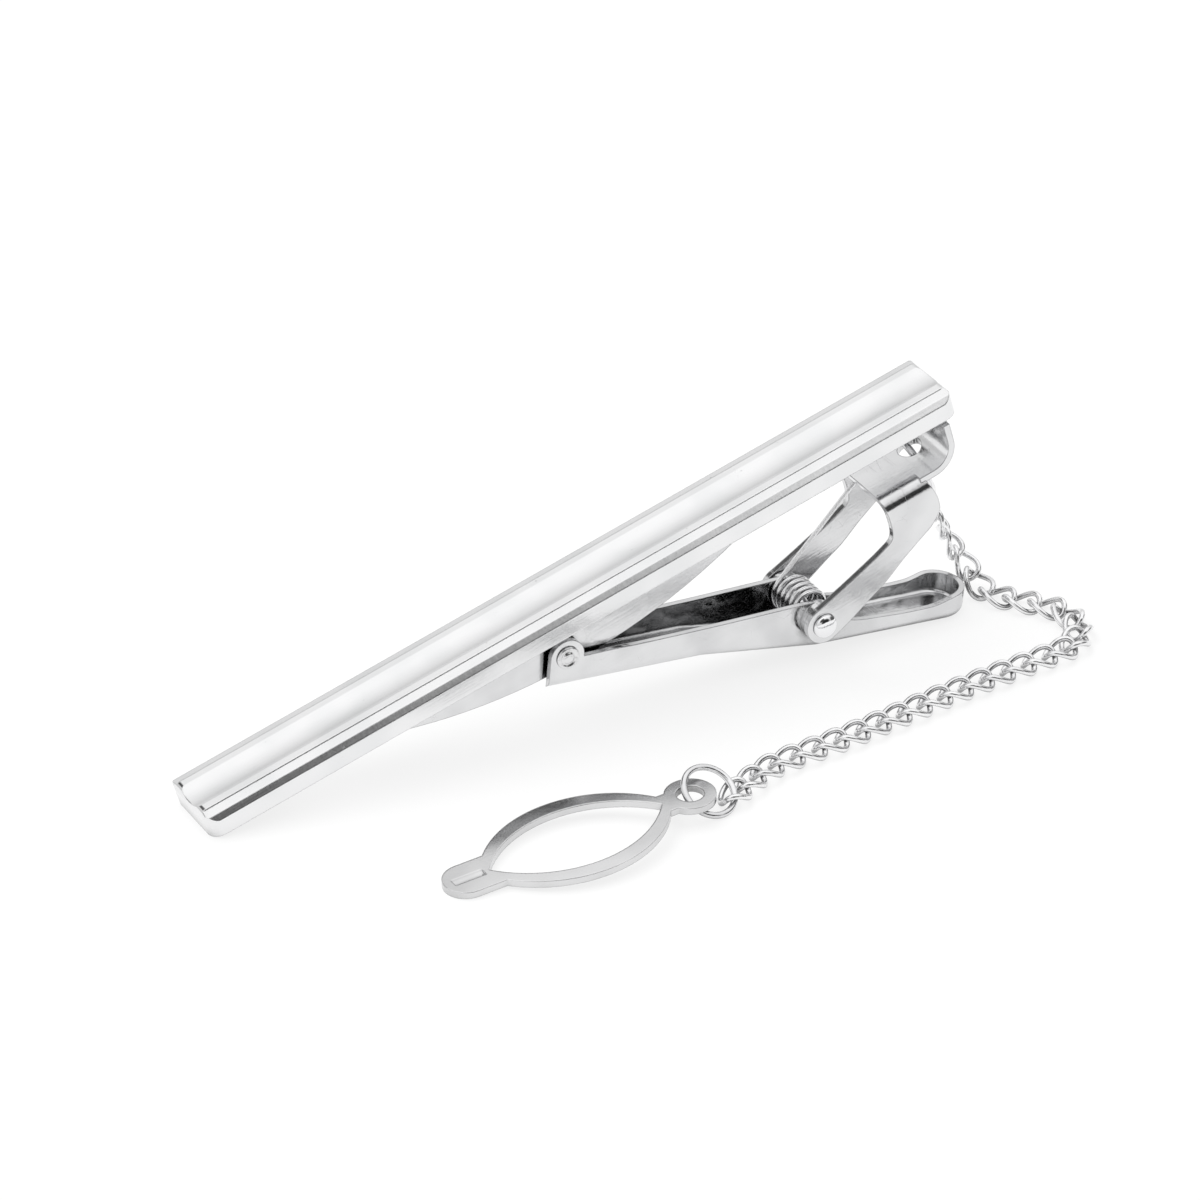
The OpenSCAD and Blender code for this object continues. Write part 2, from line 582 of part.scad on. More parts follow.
// Jaw: a channel with its web against the strip and its walls cut to an arc
module jaw_pad() color(satin) in_clip() {
    middle = jaw_x + jaw_shift;
    x0 = middle - jaw_length / 2;
    x1 = middle + jaw_length / 2;
    difference() {
        intersection() {
            slab(x0, x1, jaw_half, jaw_top - jaw_depth - over, jaw_top, jaw_corner);
            pin_y(middle, jaw_top - jaw_depth + jaw_arc, jaw_arc, jaw_half + over);
        }
        translate([x0 - over, -jaw_half + jaw_sheet, jaw_top - jaw_depth - over])
            cube([jaw_length + 2 * over, 2 * jaw_half - 2 * jaw_sheet, jaw_depth + over - jaw_sheet]);
        pin_y(jaw_x, jaw_z, jaw_rivet_radius + running_fit, jaw_half + over);
    }
}

module torsion_spring() color(wire) in_clip() translate([fulcrum_x, 0, -fulcrum_drop])
    polyhedron(points = tube_points(spring_path, spring_outs, spring_wire / 2, false), faces = tube_faces(len(spring_path), false));

module clip_ring() color(wire) in_clip() translate(ring_centre) rotate([0, 90 - clip_ring_lean, 0])
    rotate_extrude() translate([clip_ring_radius, 0]) circle(d = clip_ring_wire);

// One link of the chain, at its place on the route
module chain_link(i) color(wire) on_origin()
    translate(link_joints[i] - link_ways[i - 1] * link_spacing / 2) rotate([0, link_dives[i - 1], link_headings[i - 1]])
        polyhedron(points = tube_points(link_path(), link_path(), link_wire / 2, true), faces = tube_faces(link_rings, true));
module link_01() chain_link(1);
module link_02() chain_link(2);
module link_03() chain_link(3);
module link_04() chain_link(4);
module link_05() chain_link(5);
module link_06() chain_link(6);
module link_07() chain_link(7);
module link_08() chain_link(8);
module link_09() chain_link(9);
module link_10() chain_link(10);
module link_11() chain_link(11);
module link_12() chain_link(12);
module link_13() chain_link(13);
module link_14() chain_link(14);
module link_15() chain_link(15);
module link_16() chain_link(16);
module link_17() chain_link(17);
module link_18() chain_link(18);
module link_19() chain_link(19);
module link_20() chain_link(20);
module link_21() chain_link(21);
module link_22() chain_link(22);
module link_23() chain_link(23);
module link_24() chain_link(24);
module link_25() chain_link(25);
module link_26() chain_link(26);
module link_27() chain_link(27);
module link_28() chain_link(28);
module link_29() chain_link(29);

module end_ring() color(wire) on_origin() translate(end_centre) rotate([end_ring_tilt, 0, end_ring_turn])
    rotate_extrude() translate([end_ring_radius, 0]) circle(d = end_ring_wire);

// Button loop: its frame has the lens's middle as origin, with the eyelet towards +X
module lens(arc, side, h) intersection() {
    translate([0, side - arc, 0]) cylinder(r = arc, h = h, center = true, $fn = 96);
    translate([0, arc - side, 0]) cylinder(r = arc, h = h, center = true, $fn = 96);
}
module button_loop() color(dark) on_origin() translate(eyelet_place) rotate([0, -loop_pitch, loop_turn]) translate([-eyelet_reach, 0, 0]) difference() {
    union() {
        lens(lens_arc, lens_side, loop_sheet);
        translate([eyelet_reach, 0, 0]) cylinder(r = eyelet_radius, h = loop_sheet, center = true);
        translate([-nose_reach, 0, 0]) cylinder(r = nose_half, h = loop_sheet, center = true);
        translate([lens_half * 0.85, -neck_half, -loop_sheet / 2]) cube([eyelet_reach - lens_half * 0.85, 2 * neck_half, loop_sheet]);
        translate([-nose_reach, -nose_half, -loop_sheet / 2]) cube([nose_reach - lens_half * 0.8, 2 * nose_half, loop_sheet]);
    }
    lens(eye_arc, eye_side, loop_sheet + 2 * over);
    translate([eyelet_reach, 0, 0]) cylinder(r = eyelet_hole, h = loop_sheet + 2 * over, center = true);
    rod_x(-nose_reach - nose_half * 0.6, 0, loop_sheet / 2 - groove_depth + groove_radius, groove_radius, nose_half * 1.4);
}

front_bar();
back_plate();
pivot_rivet();
pinch_arm();
jaw_rivet();
jaw_pad();
torsion_spring();
clip_ring();
link_01();
link_02();
link_03();
link_04();
link_05();
link_06();
link_07();
link_08();
link_09();
link_10();
link_11();
link_12();
link_13();
link_14();
link_15();
link_16();
link_17();
link_18();
link_19();
link_20();
link_21();
link_22();
link_23();
link_24();
link_25();
link_26();
link_27();
link_28();
link_29();
end_ring();
button_loop();
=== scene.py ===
# %% [markdown]
# # A tie clip with a chain and a button loop
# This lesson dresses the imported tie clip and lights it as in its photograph.
# The CAD model gives every place and size, in metres. The bar points along +X and
# rises to the right, the camera stands in front of it and to its left.
# Each step is one cell: a note first, then the code, which prints what it made.

import math

import bmesh
import bpy
import numpy as np
from mathutils import Matrix, Vector


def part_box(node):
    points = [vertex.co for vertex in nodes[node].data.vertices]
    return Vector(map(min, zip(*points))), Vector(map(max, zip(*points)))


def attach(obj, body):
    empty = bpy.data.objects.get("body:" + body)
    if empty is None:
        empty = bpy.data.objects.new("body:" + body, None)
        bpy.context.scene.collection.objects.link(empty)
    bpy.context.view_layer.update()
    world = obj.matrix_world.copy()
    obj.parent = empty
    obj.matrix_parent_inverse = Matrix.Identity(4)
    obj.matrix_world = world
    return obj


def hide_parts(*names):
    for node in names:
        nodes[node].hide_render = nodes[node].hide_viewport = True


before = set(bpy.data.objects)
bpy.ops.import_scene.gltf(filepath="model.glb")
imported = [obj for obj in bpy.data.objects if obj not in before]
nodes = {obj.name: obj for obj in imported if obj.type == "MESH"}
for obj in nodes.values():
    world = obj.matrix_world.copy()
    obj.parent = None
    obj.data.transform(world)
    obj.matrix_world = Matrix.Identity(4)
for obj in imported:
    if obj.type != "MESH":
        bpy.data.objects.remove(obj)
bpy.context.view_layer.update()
scene = bpy.context.scene

# %% [markdown]
# ## Sizes
# The source of the part works in millimetres from the left end of the bar. These are
# the few values of it that the wires need here: the clip's tilt, the fulcrum, the
# coil, and the chain's route with its headings and dives in degrees.

# %% Sizes
MM = 0.001
ORIGIN = np.array([31.8681, -7.15372, 0.0])
TILT = math.radians(16.9008)
FULCRUM = (44.4, -10.0)
JAW = (26.8602, -2.14)
PLATE_FACE, ARM_FACE = 3.12, 2.05
COIL = dict(start=123.911, sweep=1918.35, side=1.445, radius=1.3, lift=0.35, wire=0.33)
PLATE_TIP = (7.2, 5.985)
FLOOR_TIP = (6.23822, -4.3543)
LINK = dict(half=1.24, side=0.88, twist=50.0, wire=0.392, spacing=1.8)
CHAIN_START = np.array([55.6847, 1.99754, 8.87342])
DIVES = [59.1492] * 4 + [49.0816, 23.7169, 1.0012] + [0.0] * 22
HEADINGS = [37, 13, -12, -36, -60, -84, -57, -48, -54, -84, -114, -144, -172, -174, -174,
            -173.5, -173, -172, -171, -170, -170.667, -171.333, -172, -173.5, -175, -172,
            -161, -154, -153]


def part_place(row):
    """From millimetres at the bar's left end to metres in the shared frame."""
    return (np.asarray(row) - ORIGIN) * MM


def from_clip(p):
    """From the clip's own tilted axes to metres in the shared frame."""
    p = np.asarray(p, float)
    c, s = math.cos(TILT), math.sin(TILT)
    row = np.stack([p[..., 0] * c - p[..., 2] * s, p[..., 1], p[..., 0] * s + p[..., 2] * c], -1)
    return part_place(row)


print("bar tilt", round(math.degrees(TILT), 2), "links", len(HEADINGS))

# %% [markdown]
# ## Node groups for the metals
# The groups give only masks, heights and colours. Each metal puts them together with
# its own shader, so that gloss stays in the material.


# %% Node helpers
def link(tree, a, b):
    tree.links.new(a, b)


def add(tree, kind, **values):
    n = tree.nodes.new(kind)
    for k, v in values.items():
        if k.startswith("in_"):
            n.inputs[k[3:].replace("_", " ")].default_value = v
        else:
            setattr(n, k, v)
    return n


def math_node(tree, op, a, b=None, clamp=False):
    n = tree.nodes.new("ShaderNodeMath")
    n.operation = op
    n.use_clamp = clamp
    for i, v in enumerate((a, b)):
        if v is None:
            continue
        if isinstance(v, (int, float)):
            n.inputs[i].default_value = v
        else:
            tree.links.new(v, n.inputs[i])
    return n.outputs[0]


def vector_node(tree, op, a, b):
    n = tree.nodes.new("ShaderNodeVectorMath")
    n.operation = op
    for i, v in enumerate((a, b)):
        if hasattr(v, "links"):
            tree.links.new(v, n.inputs[i])
        else:
            n.inputs[i].default_value = v
    return n


def map_range(tree, value, a, b, c, d, smooth=False):
    n = tree.nodes.new("ShaderNodeMapRange")
    n.interpolation_type = "SMOOTHSTEP" if smooth else "LINEAR"
    for i, v in enumerate((a, b, c, d)):
        n.inputs[i + 1].default_value = v
    tree.links.new(value, n.inputs[0])
    return n.outputs[0]


def new_group(name, ins, outs):
    g = bpy.data.node_groups.new(name, "ShaderNodeTree")
    for n, kind, value in ins:
        s = g.interface.new_socket(n, in_out="INPUT", socket_type=kind)
        if value is not None:
            s.default_value = value
    for n, kind in outs:
        g.interface.new_socket(n, in_out="OUTPUT", socket_type=kind)
    return g, g.nodes.new("NodeGroupInput"), g.nodes.new("NodeGroupOutput")


def use_group(tree, group, **values):
    n = tree.nodes.new("ShaderNodeGroup")
    n.node_tree = group
    for k, v in values.items():
        s = n.inputs[k]
        if hasattr(v, "links"):
            tree.links.new(v, s)
        else:
            s.default_value = v
    return n


print("helpers ready")

# %% [markdown]
# Polish marks: fine lines that run along the clip, worked out on the object's own
# coordinates, which are turned into the clip's slope and stretched along it.

# %% Polish marks
polish, gi, go = new_group(
    "polish_marks",
    [("Along", "NodeSocketFloat", 120.0), ("Across", "NodeSocketFloat", 5200.0)],
    [("Height", "NodeSocketFloat"), ("Tone", "NodeSocketFloat")])
coord = add(polish, "ShaderNodeTexCoord")
turn = add(polish, "ShaderNodeMapping")
turn.inputs["Rotation"].default_value = (0, TILT, 0)
link(polish, coord.outputs["Object"], turn.inputs["Vector"])
size = add(polish, "ShaderNodeCombineXYZ")
link(polish, gi.outputs["Along"], size.inputs[0])
link(polish, gi.outputs["Across"], size.inputs[1])
link(polish, gi.outputs["Across"], size.inputs[2])
stretched = vector_node(polish, "MULTIPLY", turn.outputs[0], size.outputs[0])
lines = add(polish, "ShaderNodeTexNoise", in_Scale=1.0, in_Detail=4.0, in_Roughness=0.6)
link(polish, stretched.outputs[0], lines.inputs["Vector"])
broad = add(polish, "ShaderNodeTexNoise", in_Scale=260.0, in_Detail=2.0, in_Roughness=0.5)
link(polish, turn.outputs[0], broad.inputs["Vector"])
link(polish, lines.outputs["Fac"], go.inputs["Height"])
link(polish, broad.outputs["Fac"], go.inputs["Tone"])

# %% [markdown]
# Plating grain: a slight orange peel that thin plating has, with small pits.

# %% Plating grain
grain, gi, go = new_group(
    "plating_grain", [("Size", "NodeSocketFloat", 2600.0)],
    [("Height", "NodeSocketFloat"), ("Pits", "NodeSocketFloat")])
coord = add(grain, "ShaderNodeTexCoord")
peel = add(grain, "ShaderNodeTexNoise", in_Detail=3.0, in_Roughness=0.55)
link(grain, coord.outputs["Object"], peel.inputs["Vector"])
link(grain, gi.outputs["Size"], peel.inputs["Scale"])
spots = add(grain, "ShaderNodeTexVoronoi", in_Scale=1500.0)
link(grain, coord.outputs["Object"], spots.inputs["Vector"])
pits = map_range(grain, spots.outputs["Distance"], 0.05, 0.12, 1.0, 0.0, smooth=True)
rare = add(grain, "ShaderNodeTexNoise", in_Scale=500.0, in_Detail=1.0)
link(grain, coord.outputs["Object"], rare.inputs["Vector"])
chosen = map_range(grain, rare.outputs["Fac"], 0.6, 0.68, 0.0, 1.0, smooth=True)
link(grain, math_node(grain, "MULTIPLY", pits, chosen), go.inputs["Pits"])
link(grain, peel.outputs["Fac"], go.inputs["Height"])

# %% [markdown]
# Scratches: three sets of thin short lines at different slants, each broken by a mask.

# %% Scratches
scratch, gi, go = new_group("thin_scratches", [("Size", "NodeSocketFloat", 900.0)],
                            [("Mask", "NodeSocketFloat")])
coord = add(scratch, "ShaderNodeTexCoord")
total = None
for i, slant in enumerate((0.3, 1.2, 2.2)):
    m = add(scratch, "ShaderNodeMapping")
    m.inputs["Rotation"].default_value = (slant * 0.7, slant, slant * 1.3)
    m.inputs["Scale"].default_value = (1.0, 0.04, 1.0)
    link(scratch, coord.outputs["Object"], m.inputs["Vector"])
    v = add(scratch, "ShaderNodeTexVoronoi", feature="DISTANCE_TO_EDGE")
    link(scratch, m.outputs[0], v.inputs["Vector"])
    link(scratch, gi.outputs["Size"], v.inputs["Scale"])
    thin = map_range(scratch, v.outputs["Distance"], 0.0, 0.007, 1.0, 0.0)
    n = add(scratch, "ShaderNodeTexNoise", in_Scale=380.0 + 60 * i, in_Detail=1.0)
    link(scratch, coord.outputs["Object"], n.inputs["Vector"])
    keep = map_range(scratch, n.outputs["Fac"], 0.62, 0.68, 0.0, 1.0, smooth=True)
    part = math_node(scratch, "MULTIPLY", thin, keep)
    total = part if total is None else math_node(scratch, "MAXIMUM", total, part)
link(scratch, total, go.inputs["Mask"])

# %% [markdown]
# Edges: how far the rounded normal leaves the flat one marks the rim, which takes a painted edge
# tone:
# a painted highlight on the bar, painted dark edge lines on the sheet.

# %% Edge normal and painted rim mask
edges, gi, go = new_group("edge_normal_and_painted_rims", [("Radius", "NodeSocketFloat", 0.00011)],
                          [("Mask", "NodeSocketFloat"), ("Normal", "NodeSocketVector")])
round_ = add(edges, "ShaderNodeBevel", samples=10)
link(edges, gi.outputs["Radius"], round_.inputs["Radius"])
geo = add(edges, "ShaderNodeNewGeometry")
dot = vector_node(edges, "DOT_PRODUCT", round_.outputs[0], geo.outputs["Normal"])
link(edges, map_range(edges, dot.outputs["Value"], 0.985, 0.8, 0.0, 1.0), go.inputs["Mask"])
link(edges, round_.outputs[0], go.inputs["Normal"])

# %% [markdown]
# Painted shade: how far a place is shut in by its neighbours darkens its colour there.
# Faces that look up keep most of their tone, as lit from above.

# %% Painted shade mask
shade_group, gi, go = new_group("painted_shade_mask", [("Reach", "NodeSocketFloat", 0.0035)],
                           [("Open", "NodeSocketFloat"), ("Inside", "NodeSocketFloat")])
shut = add(shade_group, "ShaderNodeAmbientOcclusion", samples=8)
link(shade_group, gi.outputs["Reach"], shut.inputs["Distance"])
face = add(shade_group, "ShaderNodeNewGeometry")
upward = add(shade_group, "ShaderNodeSeparateXYZ")
link(shade_group, face.outputs["Normal"], upward.inputs[0])
lit = map_range(shade_group, upward.outputs["Z"], 0.5, 0.9, 0.0, 0.85, smooth=True)
seen = map_range(shade_group, shut.outputs["AO"], 0.2, 0.5, 0.0, 1.0, smooth=True)
# painted shade: shut-in places that do not face up lose their colour
link(shade_group, math_node(shade_group, "MAXIMUM", lit, seen), go.inputs["Open"])
within = map_range(shade_group, shut.outputs["AO"], 0.5, 0.9, 1.0, 0.0, smooth=True)
link(shade_group, within, go.inputs["Inside"])

# %% [markdown]
# Dents: the slow waver of folded sheet, which shows in the reflections inside the arm.

# %% Dents
waver, gi, go = new_group("sheet_waver", [("Amount", "NodeSocketFloat", 10.0)],
                          [("Height", "NodeSocketFloat")])
coord = add(waver, "ShaderNodeTexCoord")
wide = add(waver, "ShaderNodeTexNoise", in_Scale=620.0, in_Detail=1.5)
link(waver, coord.outputs["Object"], wide.inputs["Vector"])
high = math_node(waver, "MULTIPLY", wide.outputs["Fac"], gi.outputs["Amount"])
link(waver, high, go.inputs["Height"])
print("groups", [g.name for g in bpy.data.node_groups])

# %% [markdown]
# ## The metals
# One function builds a plated metal from the groups: a base tone that drifts a little,
# roughness with its marks, and a bump from the polish, the peel and the scratches.
# Rims take a painted edge tone, a painted highlight where it is light and painted dark
# edge lines where it is dark. Shut-in places take a painted shade. A crown leans the
# normal outward on both sides of a line, as on the stamped loop.


# %% Metal builder
def mix_colours(t, factor, a, b):
    """Colour between a and b, each a socket or three numbers."""
    n = t.nodes.new("ShaderNodeMix")
    n.data_type = "RGBA"
    link(t, factor, n.inputs["Factor"])
    for socket, v in (("A", a), ("B", b)):
        if hasattr(v, "links"):
            link(t, v, n.inputs[socket])
        else:
            n.inputs[socket].default_value = (*v, 1)
    return n.outputs["Result"]


# rim and painted_rim_tone paint a tone on the edges; painted_shade_tone is the painted shade in
# shut-in places
def metal(name, tone, dark, rough, marks=0.0, peel=0.0, scratches=0.0, along=120.0,
          across=5200.0, rough_swing=0.06, rim=0.15, painted_rim_tone=0.96, painted_shade_tone=0.3, dents=0.0,
          edge=0.00011, crown=None, reach=0.0035):
    m = bpy.data.materials.new(name)
    m.use_nodes = True
    t = m.node_tree
    t.nodes.clear()
    out = t.nodes.new("ShaderNodeOutputMaterial")
    bsdf = t.nodes.new("ShaderNodeBsdfPrincipled")
    bsdf.inputs["Metallic"].default_value = 1.0
    link(t, bsdf.outputs[0], out.inputs["Surface"])
    pm = use_group(t, polish, Along=along, Across=across)
    gr = use_group(t, grain)
    sc = use_group(t, scratch)
    ed = use_group(t, edges, Radius=edge)
    painted_shade = use_group(t, shade_group, Reach=reach)
    drift = map_range(t, pm.outputs["Tone"], 0.32, 0.62, 0.0, 1.0, smooth=True)
    colour = mix_colours(t, drift, dark, tone)
    pits = math_node(t, "MULTIPLY", gr.outputs["Pits"], 0.7)
    colour = mix_colours(t, pits, colour, [v * 0.45 for v in dark])
    # painted rim tone on the rounded edges: a painted highlight when light, painted dark edge lines
    # when dark
    painted_rims = math_node(t, "MULTIPLY", ed.outputs["Mask"], rim)
    colour = mix_colours(t, painted_rims, colour, (painted_rim_tone, painted_rim_tone, painted_rim_tone + 0.005))
    # painted shade: shut-in places are mixed towards a darker colour
    colour = mix_colours(t, painted_shade.outputs["Open"], [v * painted_shade_tone for v in dark], colour)
    link(t, colour, bsdf.inputs["Base Color"])
    half = rough_swing / 2
    r = map_range(t, pm.outputs["Height"], 0.3, 0.7, rough - half, rough + half)
    r = math_node(t, "ADD", r, math_node(t, "MULTIPLY", sc.outputs["Mask"], 0.2), clamp=True)
    link(t, r, bsdf.inputs["Roughness"])
    high = math_node(t, "MULTIPLY", pm.outputs["Height"], marks)
    high = math_node(t, "ADD", high, math_node(t, "MULTIPLY", gr.outputs["Height"], peel))
    high = math_node(t, "SUBTRACT", high, math_node(t, "MULTIPLY", gr.outputs["Pits"], peel * 1.5))
    high = math_node(t, "SUBTRACT", high, math_node(t, "MULTIPLY", sc.outputs["Mask"], scratches))
    if dents:
        inside = math_node(t, "MULTIPLY", painted_shade.outputs["Inside"], dents)
        high = math_node(t, "ADD", high, use_group(t, waver, Amount=inside).outputs["Height"])
    normal = ed.outputs["Normal"]
    if crown:
        middle, heading, lean = crown
        sideways = (-math.sin(heading), math.cos(heading), 0)
        where = add(t, "ShaderNodeTexCoord")
        shift = vector_node(t, "SUBTRACT", where.outputs["Object"], (middle[0], middle[1], 0))
        flank = vector_node(t, "DOT_PRODUCT", shift.outputs[0], sideways).outputs["Value"]
        tip = vector_node(t, "MULTIPLY", sideways, math_node(t, "MULTIPLY", flank, lean))
        tip = vector_node(t, "ADD", normal, tip.outputs[0])
        normal = vector_node(t, "NORMALIZE", tip.outputs[0], (0, 0, 0)).outputs[0]
    bump = t.nodes.new("ShaderNodeBump")
    bump.inputs["Strength"].default_value = 1.0
    bump.inputs["Distance"].default_value = 0.00001
    link(t, high, bump.inputs["Height"])
    link(t, normal, bump.inputs["Normal"])
    link(t, bump.outputs[0], bsdf.inputs["Normal"])
    return m


# %% [markdown]
# The crown of the loop runs along its long axis, which is measured on the loop itself.
# Tones are written as base colours: first the usual one, then the darker drift.

# %% Metals
loop_points = np.array([v.co[:2] for v in nodes["button_loop"].data.vertices])
loop_at = (loop_points.min(0) + loop_points.max(0)) / 2
loop_way = np.linalg.svd(loop_points - loop_at, full_matrices=False)[2][0]
loop_heading = math.atan2(loop_way[1], loop_way[0])
print("loop middle, mm", (loop_at * 1000).round(2), "heading", round(math.degrees(loop_heading), 1))
METALS = {
    # bar_plating: painted highlight on its rims
    "bar_metal": metal("bar_plating", (0.85, 0.85, 0.855), (0.8, 0.805, 0.81), 0.13,
                       marks=0.35, peel=0.25, rough_swing=0.06, rim=0.45, edge=0.00015),
    # satin_sheet and satin_plate: painted dark edge lines, and painted shade in shut-in places,
    # deepest inside the arm
    "sheet_metal": metal("satin_sheet", (0.78, 0.782, 0.788), (0.69, 0.692, 0.7), 0.17,
                         marks=0.5, peel=0.8, scratches=0.3, rough_swing=0.1, rim=0.75,
                         painted_rim_tone=0.25, painted_shade_tone=0.06, dents=14.0, reach=0.007),
    "plate_finish": metal("satin_plate", (0.77, 0.772, 0.778), (0.69, 0.692, 0.7), 0.17,
                          marks=0.5, peel=0.8, scratches=0.3, rough_swing=0.1, rim=0.75,
                          painted_rim_tone=0.25, painted_shade_tone=0.3, dents=3.0),
    "rivet_metal": metal("bright_rivets", (0.9, 0.9, 0.91), (0.85, 0.85, 0.86), 0.07,
                         marks=0.1, peel=0.3, scratches=0.4, rough_swing=0.04),
    "button_finish": metal("satin_button", (0.8, 0.8, 0.805), (0.72, 0.72, 0.73), 0.2,
                           marks=0.2, peel=0.5, scratches=0.3, rough_swing=0.06),
    "spring_wire": metal("drawn_spring_wire", (0.96, 0.96, 0.965), (0.88, 0.88, 0.89), 0.15,
                         marks=0.5, peel=0.6, along=5200.0, rough_swing=0.1, painted_shade_tone=1.0),
    "ring_wire": metal("plated_ring_wire", (0.84, 0.84, 0.85), (0.72, 0.72, 0.73), 0.13,
                       marks=0.2, peel=0.8, scratches=0.5),
    "link_wire": metal("plated_link_wire", (0.91, 0.91, 0.915), (0.82, 0.82, 0.83), 0.18,
                       marks=0.2, peel=0.6, scratches=0.3, painted_shade_tone=0.35),
    "loop_metal": metal("satin_loop", (0.72, 0.72, 0.725), (0.63, 0.63, 0.635), 0.19,
                        marks=0.05, peel=0.15, scratches=0.0, rough_swing=0.08, rim=0.3,
                        edge=0.00015, crown=(loop_at, loop_heading, 28.0)),
}
SLOT_OF = {"front_bar": "bar_metal", "back_plate": "plate_finish", "pinch_arm": "sheet_metal",
           "jaw_pad": "sheet_metal",
           "clip_ring": "ring_wire", "end_ring": "ring_wire", "button_loop": "loop_metal"}
for name, slot in SLOT_OF.items():
    ob = nodes[name]
    if not ob.data.materials:
        ob.data.materials.append(None)
    for s in ob.material_slots:
        s.material = METALS[slot]
print("metals", len(METALS), "on", len(SLOT_OF), "CAD nodes")

# %% [markdown]
# ## Wires
# A wire is a round tube along a smooth line. Its rings are turned so that the first
# side of each ring points the way that the line's own guide says. Open ends are taken
# in a little, as cut wire has no sharp rim.


# %% Tube builder
def make_piece(name, verts, faces, smooth=(3, 4)):
    """Object with outward normals; faces with these numbers of corners are shaded smooth."""
    me = bpy.data.meshes.new(name)
    me.from_pydata(verts, [], faces)
    bm = bmesh.new()
    bm.from_mesh(me)
    bmesh.ops.recalc_face_normals(bm, faces=bm.faces)
    bm.to_mesh(me)
    bm.free()
    for f in me.polygons:
        f.use_smooth = len(f.vertices) in smooth
    ob = bpy.data.objects.new(name, me)
    scene.collection.objects.link(ob)
    return ob


def tube(name, line, guides, radius, sides=14, closed=False):
    """Mesh tube in metres; line and guides are arrays of points and outward directions."""
    line, guides = np.asarray(line, float), np.asarray(guides, float)
    n = len(line)
    if closed:
        along = np.roll(line, -1, 0) - np.roll(line, 1, 0)
    else:
        along = np.gradient(line, axis=0)
    along /= np.linalg.norm(along, axis=1)[:, None]
    u = guides - (guides * along).sum(1)[:, None] * along
    u /= np.linalg.norm(u, axis=1)[:, None]
    v = np.cross(along, u)
    a = np.arange(sides) * 2 * math.pi / sides
    radii = np.full(n, radius)
    if not closed:
        radii[0] = radii[-1] = radius * END_SHARE
    rings = line[:, None] + radii[:, None, None] * (
        np.cos(a)[None, :, None] * u[:, None] + np.sin(a)[None, :, None] * v[:, None])
    verts = rings.reshape(-1, 3).tolist()
    faces = []
    for i in range(n if closed else n - 1):
        p, q = i * sides, ((i + 1) % n) * sides
        for k in range(sides):
            m = (k + 1) % sides
            faces.append((p + k, p + m, q + m, q + k))
    if not closed:
        faces.append(tuple(range(sides - 1, -1, -1)))
        faces.append(tuple((n - 1) * sides + k for k in range(sides)))
    return make_piece(name, verts, faces, smooth=(4,))


END_SHARE = 0.72
print("tube builder ready")

# %% [markdown]
# ## The chain
# Every link is a long oval whose two ends are twisted opposite ways. It is built about
# its own middle, then turned by its dive and heading and set on the route.


# %% Chain links
def oval(v, power=2.4):
    return np.sign(v) * np.abs(v) ** (2 / power)


def link_line(count=72):
    a = (np.arange(count) + 0.5) * 2 * math.pi / count
    s = oval(np.cos(a))
    w = LINK["side"] * oval(np.sin(a))
    q = np.radians(LINK["twist"]) * s
    line = np.stack([LINK["half"] * s, w * np.cos(q), w * np.sin(q)], 1)
    for _ in range(2):
        line = (np.roll(line, 1, 0) + 2 * line + np.roll(line, -1, 0)) / 4
    return line


def way(h, d):
    h, d = math.radians(h), math.radians(d)
    return np.array([math.cos(h) * math.cos(d), math.sin(h) * math.cos(d), -math.sin(d)])


base = link_line()
spot = CHAIN_START.copy()
worst = 0.0
for i, (h, d) in enumerate(zip(HEADINGS, DIVES)):
    step = way(h, d) * LINK["spacing"]
    middle = spot + step / 2
    spot = spot + step
    turned = Matrix.Rotation(math.radians(h), 3, "Z") @ Matrix.Rotation(math.radians(d), 3, "Y")
    placed = base @ np.array(turned).T
    ob = tube("link_wire_%02d" % (i + 1), part_place(placed + middle), placed,
              LINK["wire"] / 2 * MM, closed=True)
    ob.data.materials.append(METALS["link_wire"])
    node = "link_%02d" % (i + 1)
    lo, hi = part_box(node)
    worst = max(worst, float(np.abs((np.array(lo) + np.array(hi)) / 2 - part_place(middle)).max()))
    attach(ob, "chain_%02d" % (i + 1))
    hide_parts(node)
print("links", len(HEADINGS), "worst offset from the CAD link, mm", round(worst * 1000, 3))

# %% [markdown]
# ## The spring
# One wire from the plate, five and a third turns round the rivet, and out along the
# floor of the arm. Its turns are set closer than in the CAD, as the photograph shows.

# %% Spring
fx, fz = FULCRUM
turns_ = np.linspace(0, 1, 260)
ang = np.radians(COIL["start"] + COIL["sweep"] * turns_)
coil = np.stack([COIL["radius"] * np.cos(ang), COIL["side"] * (1 - 2 * turns_),
                 COIL["radius"] * np.sin(ang) + COIL["lift"]], 1)
guide = np.stack([np.cos(ang), 0 * ang, np.sin(ang)], 1)
tip_a = np.array([PLATE_TIP[0], COIL["side"], PLATE_TIP[1]])
tip_b = np.array([FLOOR_TIP[0], -COIL["side"], FLOOR_TIP[1]])
LEG_STEPS = 14
leg_a = [tip_a + (coil[0] - tip_a) * t for t in np.linspace(0, 0.96, LEG_STEPS)]
leg_b = [coil[-1] + (tip_b - coil[-1]) * t for t in np.linspace(0.04, 1, LEG_STEPS)]
line = np.vstack([leg_a, coil, leg_b])
guides = np.vstack([np.tile(guide[0], (LEG_STEPS, 1)), guide, np.tile(guide[-1], (LEG_STEPS, 1))])
for _ in range(3):
    line[1:-1] = (line[:-2] + 2 * line[1:-1] + line[2:]) / 4
world_line = from_clip(line + np.array([fx, 0, fz]))
world_guides = from_clip(guides) - from_clip((0, 0, 0))
spring = tube("spring_wire_round", world_line, world_guides, COIL["wire"] / 2 * MM, sides=12)
spring.data.materials.append(METALS["spring_wire"])
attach(spring, "arm")
